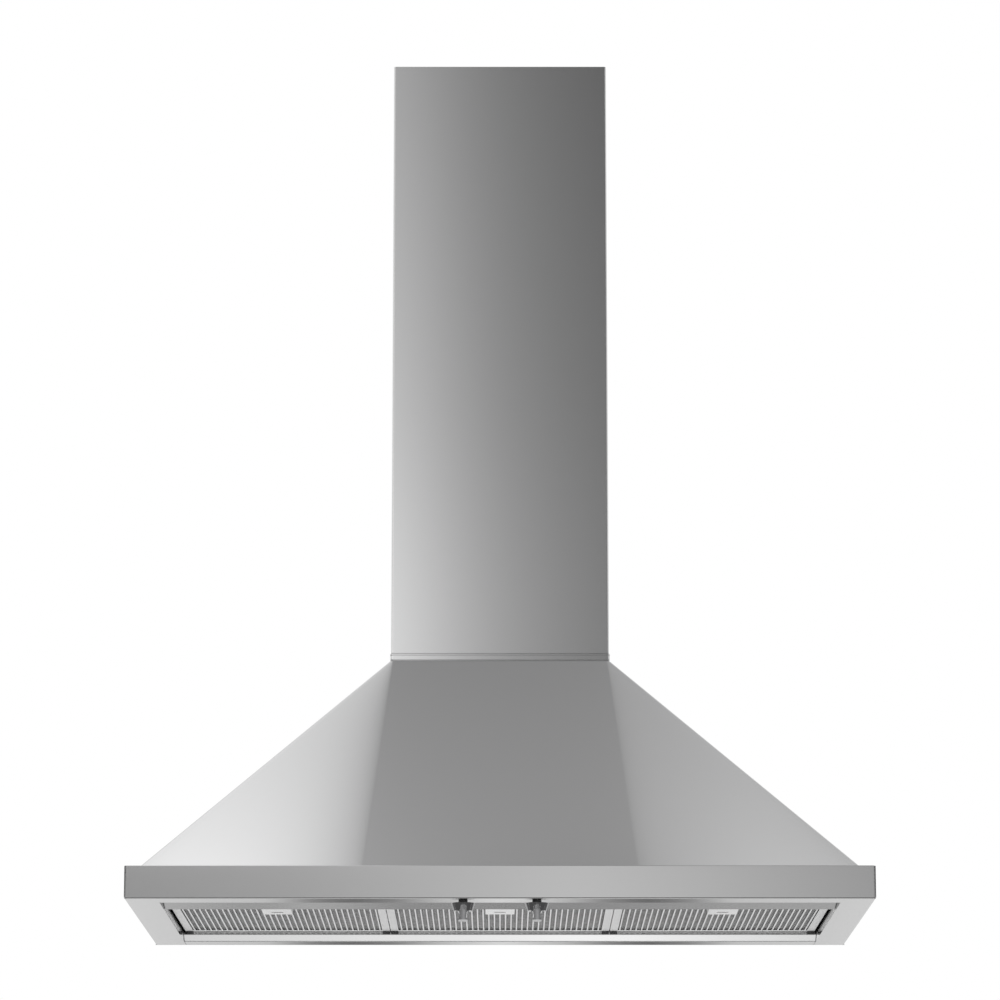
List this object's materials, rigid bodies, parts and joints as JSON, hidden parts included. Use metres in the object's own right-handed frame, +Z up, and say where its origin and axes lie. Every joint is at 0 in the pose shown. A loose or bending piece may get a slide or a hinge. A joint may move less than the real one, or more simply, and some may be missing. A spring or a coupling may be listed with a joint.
{
  "type": "chimney range hood",
  "caption": "Wall-mounted steel chimney hood: sloping canopy on a lower frame with hinged grease filters, two turning knobs, centrifugal blower, duct spigot with dampers and telescopic chimney.",
  "frame": {"origin": "on the wall plane, at the middle of the hood's width and the level of the lower frame's underside", "axes": "+Y into the wall, +Z up along the chimney, +X to the right seen from the front"},
  "size_m": [0.9, 0.5, 1.134],
  "materials": {
    "steel_outer": "fine vertical brush",
    "steel_chimney": "fine vertical brush",
    "steel_fascia": "fine lengthwise brush",
    "steel_strip": "fine lengthwise brush",
    "galvanised": "zinc coated sheet",
    "filter_rim": "mill finish",
    "filter_grille": "bright",
    "filter_mesh": "knitted wire mesh",
    "filter_foot": "black",
    "latch": "satin chrome",
    "knob": "dark satin chrome",
    "switch_body": "black",
    "shaft": "turned steel",
    "lamp_body": "satin",
    "lamp_lens": "frosted",
    "blower_case": "zinc coated sheet",
    "impeller": "black",
    "motor": "laminated steel and end bells",
    "capacitor": "white can",
    "terminal_box": "light grey",
    "gland": "black",
    "flap": "mill finish",
    "screws": "zinc plated"
  },
  "bodies": {
    "hood": {"fascia_frame": "steel_fascia", "canopy_shell": "steel_outer", "back_panel": "galvanised", "top_plate": "galvanised", "chimney_collar": "steel_outer", "lower_chimney": "steel_chimney", "lamp_strip": "steel_strip", "rear_trim": "steel_strip", "lamp_left": "lamp_body", "lamp_right": "lamp_body", "lens_left": "lamp_lens", "lens_right": "lamp_lens", "fan_switch": "switch_body", "light_switch": "switch_body", "blower_case_front": "blower_case", "blower_case_rear": "blower_case", "motor": "motor", "motor_bracket": "galvanised", "capacitor": "capacitor", "terminal_box": "terminal_box", "terminal_lid": "terminal_box", "cable_gland": "gland", "outlet_spigot": "galvanised", "damper_axle": "shaft", "case_screws": "screws", "bracket_screws": "screws", "plate_screws": "screws", "chimney_screws": "screws"},
    "upper_chimney": {"upper_chimney": "steel_chimney", "ceiling_bracket": "galvanised"},
    "fan_knob": {"fan_knob": "knob", "fan_shaft": "shaft"},
    "light_knob": {"light_knob": "knob", "light_shaft": "shaft"},
    "impeller": {"impeller": "impeller", "motor_shaft": "shaft"},
    "damper_front": {"damper_front": "flap"},
    "damper_rear": {"damper_rear": "flap"},
    "filter_left": {"filter_rim_left": "filter_rim", "filter_grille_left": "filter_grille", "filter_mesh_left": "filter_mesh", "filter_feet_left": "filter_foot"},
    "latch_left": {"latch_left": "latch"},
    "filter_middle": {"filter_rim_middle": "filter_rim", "filter_grille_middle": "filter_grille", "filter_mesh_middle": "filter_mesh", "filter_feet_middle": "filter_foot"},
    "latch_middle": {"latch_middle": "latch"},
    "filter_right": {"filter_rim_right": "filter_rim", "filter_grille_right": "filter_grille", "filter_mesh_right": "filter_mesh", "filter_feet_right": "filter_foot"},
    "latch_right": {"latch_right": "latch"}
  },
  "joints": [
    {"name": "upper_chimney_slide", "type": "slide", "parent": "hood", "child": "upper_chimney", "axis": [0, 0, 1], "range_m": [0, 0.35]},
    {"name": "fan_knob_turn", "type": "hinge", "parent": "hood", "child": "fan_knob", "pos_m": [0.0443, -0.48, -0.01], "axis": [0, 0, 1], "range_deg": [0, 180]},
    {"name": "light_knob_turn", "type": "hinge", "parent": "hood", "child": "light_knob", "pos_m": [-0.0443, -0.48, -0.01], "axis": [0, 0, 1], "range_deg": [0, 90]},
    {"name": "impeller_spin", "type": "hinge", "parent": "hood", "child": "impeller", "pos_m": [0.065, -0.14, 0.205], "axis": [0, 1, 0], "continuous": true},
    {"name": "damper_front_swing", "type": "hinge", "parent": "hood", "child": "damper_front", "pos_m": [0, -0.14, 0.3416], "axis": [-1, 0, 0], "range_deg": [0, 75]},
    {"name": "damper_rear_swing", "type": "hinge", "parent": "hood", "child": "damper_rear", "pos_m": [0, -0.14, 0.3416], "axis": [1, 0, 0], "range_deg": [0, 75]},
    {"name": "filter_left_drop", "type": "hinge", "parent": "hood", "child": "filter_left", "pos_m": [-0.27465, -0.05, 0.0115], "axis": [1, 0, 0], "range_deg": [0, 40]},
    {"name": "latch_left_slide", "type": "slide", "parent": "filter_left", "child": "latch_left", "axis": [0, 1, 0], "range_m": [0, 0.005], "stiffness_N_per_m": 400, "springref_m": -0.002},
    {"name": "filter_middle_drop", "type": "hinge", "parent": "hood", "child": "filter_middle", "pos_m": [0, -0.05, 0.0115], "axis": [1, 0, 0], "range_deg": [0, 40]},
    {"name": "latch_middle_slide", "type": "slide", "parent": "filter_middle", "child": "latch_middle", "axis": [0, 1, 0], "range_m": [0, 0.005], "stiffness_N_per_m": 400, "springref_m": -0.002},
    {"name": "filter_right_drop", "type": "hinge", "parent": "hood", "child": "filter_right", "pos_m": [0.27465, -0.05, 0.0115], "axis": [1, 0, 0], "range_deg": [0, 40]},
    {"name": "latch_right_slide", "type": "slide", "parent": "filter_right", "child": "latch_right", "axis": [0, 1, 0], "range_m": [0, 0.005], "stiffness_N_per_m": 400, "springref_m": -0.002}
  ]
}
